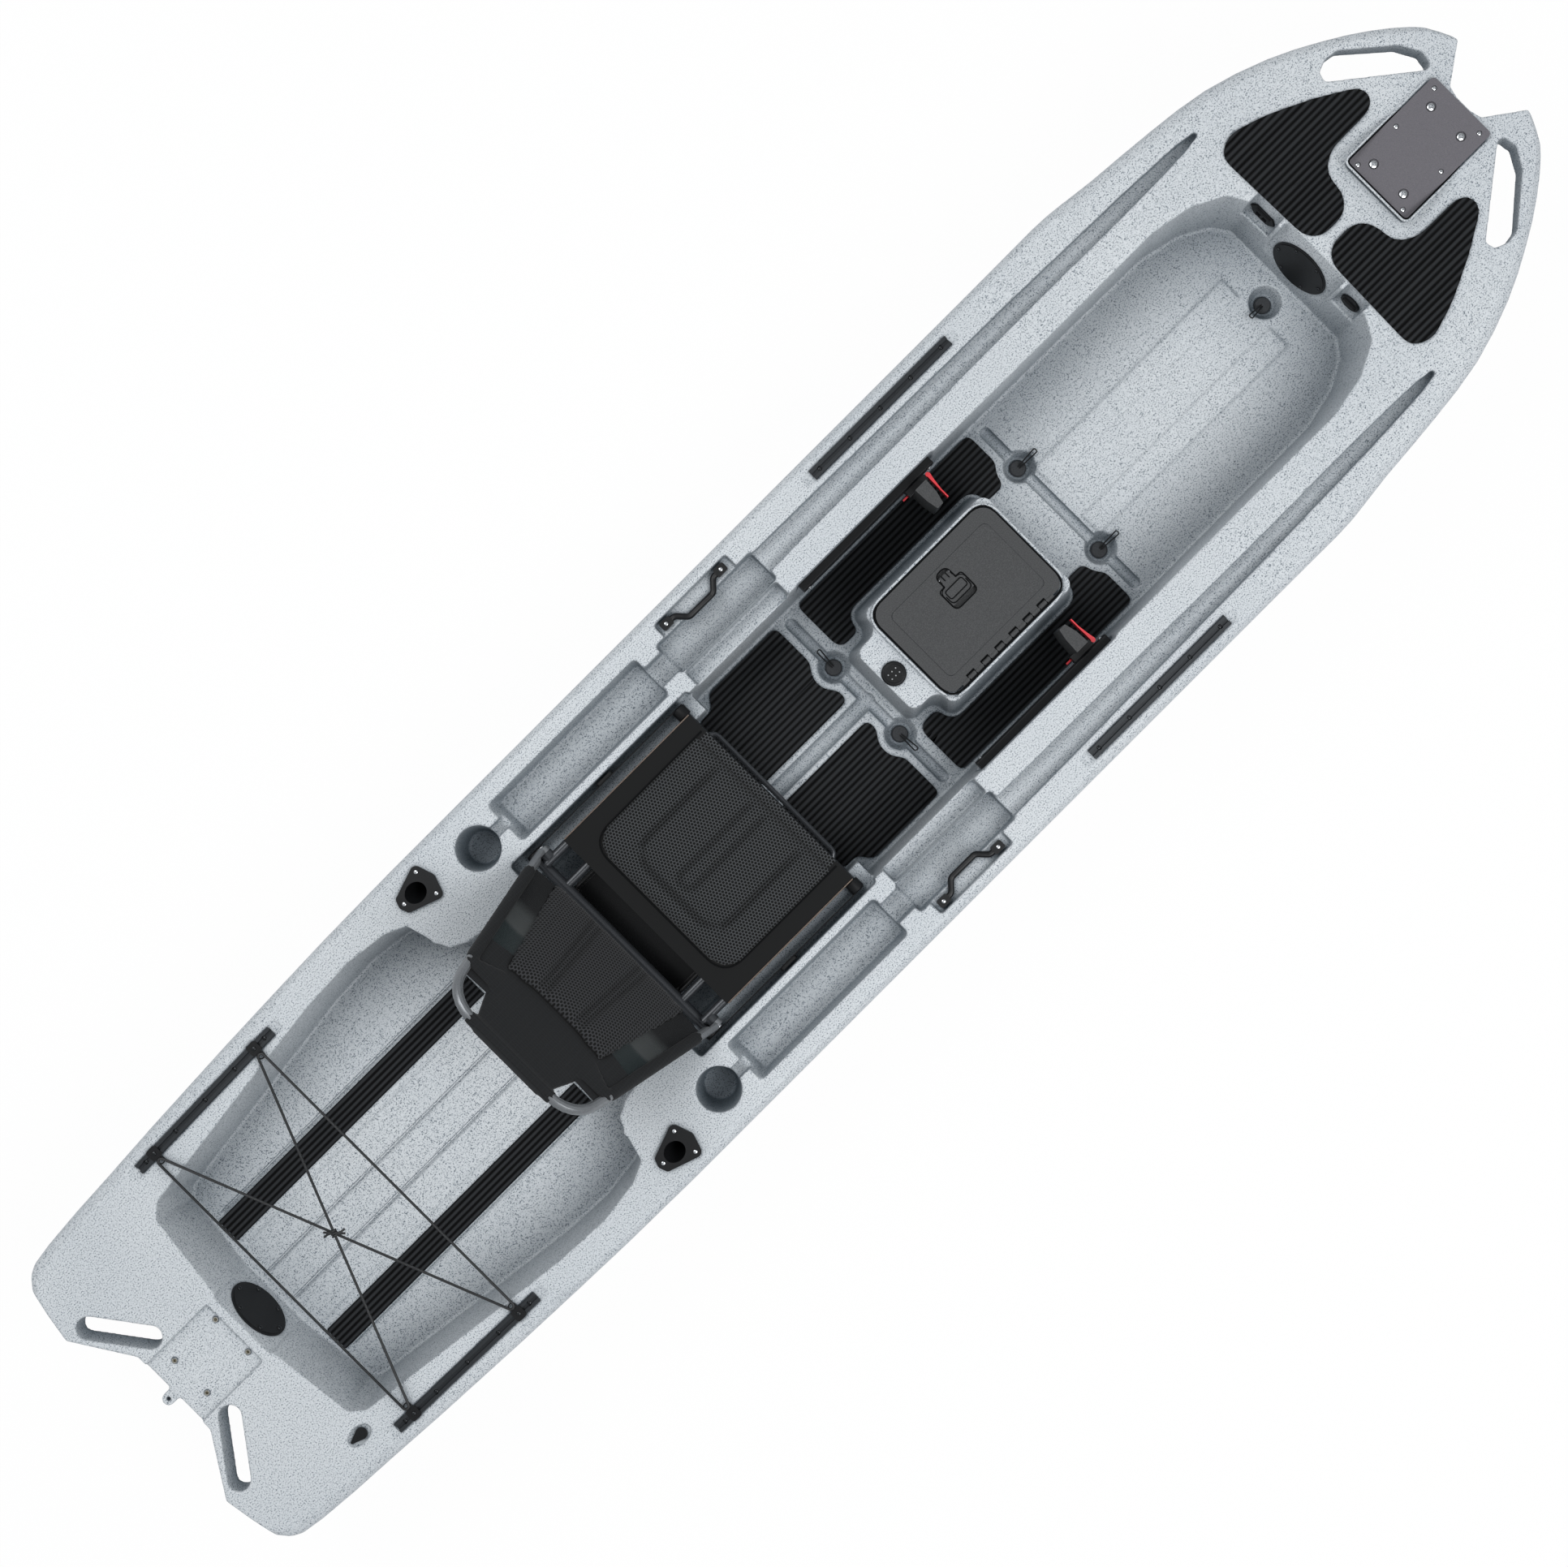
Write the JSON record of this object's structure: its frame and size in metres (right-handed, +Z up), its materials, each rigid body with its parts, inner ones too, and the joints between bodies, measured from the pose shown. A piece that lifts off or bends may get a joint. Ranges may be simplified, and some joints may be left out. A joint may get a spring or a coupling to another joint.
{
  "type": "fishing kayak",
  "caption": "Sit-on-top fishing kayak with a folding mesh seat, console hatch, adjustable foot braces, tankwell with bungee, gear tracks and flush rod holders.",
  "frame": {"origin": "on the ground under the middle of the hull's length and beam", "axes": "+X to the bow, +Y to port, +Z up"},
  "size_m": [4.04, 0.93, 0.7067],
  "materials": {
    "hull_pe": "pale blue-grey rotomoulded polyethylene, fine speckle, satin",
    "eva_black": "ribbed closed-cell foam, matt",
    "plate_grey": "moulded plate, satin",
    "black_plastic": "moulded plastic, satin",
    "dark_plastic": "moulded plastic, fine grain",
    "track_grey": "dark anodised extrusion",
    "steel": "stainless steel",
    "black_screw": "blackened screws",
    "brass": "threaded inserts",
    "gasket": "closed-cell gasket",
    "red_plastic": "moulded plastic, glossy",
    "plug_grey": "soft plug, matt",
    "cord": "braided elastic cord",
    "seat_tube": "dark powder coat",
    "back_tube": "grey anodised tube",
    "seat_fabric": "woven black fabric",
    "mesh_pad": "dark grey open mesh over padding",
    "see_through_mesh": "smoky see-through mesh",
    "strap": "woven strap"
  },
  "bodies": {
    "hull": {"hull_moulding": "hull_pe", "bow_plate": "plate_grey", "bow_plate_screws": "black_screw", "bow_pad_port": "eva_black", "bow_pad_starboard": "eva_black", "bow_oval_plate": "black_plastic", "stern_oval_plate": "black_plastic", "oval_plate_screws": "black_screw", "power_port": "black_plastic", "bow_wall_plug": "black_plastic", "aft_floor_pad_port": "eva_black", "aft_floor_pad_starboard": "eva_black", "side_floor_pad_port": "eva_black", "side_floor_pad_starboard": "eva_black", "tankwell_strip_port": "eva_black", "tankwell_strip_starboard": "eva_black", "hatch_frame": "black_plastic", "hatch_gasket": "gasket", "hatch_hinge_pin": "steel", "stern_track_port": "track_grey", "stern_track_starboard": "track_grey", "bow_track_port": "track_grey", "bow_track_starboard": "track_grey", "pan_head_screws": "steel", "bungee_anchors": "black_plastic", "bungee_cord": "cord", "bungee_knot": "cord", "rod_holder_port": "black_plastic", "rod_holder_starboard": "black_plastic", "foot_rail_port": "black_plastic", "foot_rail_starboard": "black_plastic", "carry_handle_port": "black_plastic", "carry_handle_starboard": "black_plastic", "stern_inserts": "brass", "control_pad": "black_plastic"},
    "hatch": {"hatch_lid": "dark_plastic", "latch_pin": "steel"},
    "hatch_latch": {"latch_paddle": "dark_plastic"},
    "seat": {"seat_frame": "seat_tube", "seat_feet": "black_plastic", "seat_fabric": "seat_fabric", "seat_pad": "mesh_pad", "seat_straps": "strap", "strap_buckles": "black_plastic", "hinge_bolts": "steel"},
    "backrest": {"back_frame": "back_tube", "back_cover": "seat_fabric", "back_pad": "mesh_pad", "back_mesh": "see_through_mesh"},
    "bin": {"under_seat_bin": "black_plastic"},
    "drain": {"drain_plug": "black_plastic"},
    "pedal_port": {"foot_pedal_port": "dark_plastic"},
    "pedal_release_port": {"release_lever_port": "red_plastic"},
    "pedal_starboard": {"foot_pedal_starboard": "dark_plastic"},
    "pedal_release_starboard": {"release_lever_starboard": "red_plastic"},
    "plug_aft_port": {"scupper_plug_aft_port": "plug_grey"},
    "plug_aft_starboard": {"scupper_plug_aft_starboard": "plug_grey"},
    "plug_fwd_port": {"scupper_plug_fwd_port": "plug_grey"},
    "plug_fwd_starboard": {"scupper_plug_fwd_starboard": "plug_grey"},
    "plug_bow": {"scupper_plug_bow": "plug_grey"}
  },
  "joints": [
    {"name": "hatch_hinge", "type": "hinge", "parent": "hull", "child": "hatch", "pos_m": [0.467, -0.121, 0.3388], "axis": [1, 0, 0], "range_deg": [0, 105]},
    {"name": "latch_lift", "type": "hinge", "parent": "hatch", "child": "hatch_latch", "pos_m": [0.467, 0.072, 0.3418], "axis": [-1, 0, 0], "range_deg": [0, 70]},
    {"name": "seat_lift", "type": "slide", "parent": "hull", "child": "seat", "axis": [0, 0, 1], "range_m": [0, 0.15]},
    {"name": "backrest_fold", "type": "hinge", "parent": "seat", "child": "backrest", "pos_m": [-0.555, 0, 0.3433], "axis": [0, 1, 0], "range_deg": [0, 96]},
    {"name": "bin_slide", "type": "slide", "parent": "hull", "child": "bin", "axis": [1, 0, 0], "range_m": [0, 0.25]},
    {"name": "drain_plug_out", "type": "slide", "parent": "hull", "child": "drain", "axis": [0, 0, 1], "range_m": [0, 0.03]},
    {"name": "pedal_slide_port", "type": "slide", "parent": "hull", "child": "pedal_port", "axis": [1, 0, 0], "range_m": [-0.27, 0]},
    {"name": "pedal_release_port", "type": "hinge", "parent": "pedal_port", "child": "pedal_release_port", "pos_m": [0.6036, 0.2537, 0.281], "axis": [0, 0, -1], "range_deg": [0, 12], "stiffness_Nm_per_rad": 1},
    {"name": "pedal_slide_starboard", "type": "slide", "parent": "hull", "child": "pedal_starboard", "axis": [1, 0, 0], "range_m": [-0.27, 0]},
    {"name": "pedal_release_starboard", "type": "hinge", "parent": "pedal_starboard", "child": "pedal_release_starboard", "pos_m": [0.6036, -0.2537, 0.281], "axis": [0, 0, 1], "range_deg": [0, 12], "stiffness_Nm_per_rad": 1},
    {"name": "plug_out_aft_port", "type": "slide", "parent": "hull", "child": "plug_aft_port", "axis": [0, 0, 1], "range_m": [0, 0.05]},
    {"name": "plug_out_aft_starboard", "type": "slide", "parent": "hull", "child": "plug_aft_starboard", "axis": [0, 0, 1], "range_m": [0, 0.05]},
    {"name": "plug_out_fwd_port", "type": "slide", "parent": "hull", "child": "plug_fwd_port", "axis": [0, 0, 1], "range_m": [0, 0.05]},
    {"name": "plug_out_fwd_starboard", "type": "slide", "parent": "hull", "child": "plug_fwd_starboard", "axis": [0, 0, 1], "range_m": [0, 0.05]},
    {"name": "plug_out_bow", "type": "slide", "parent": "hull", "child": "plug_bow", "axis": [0, 0, 1], "range_m": [0, 0.05]}
  ]
}
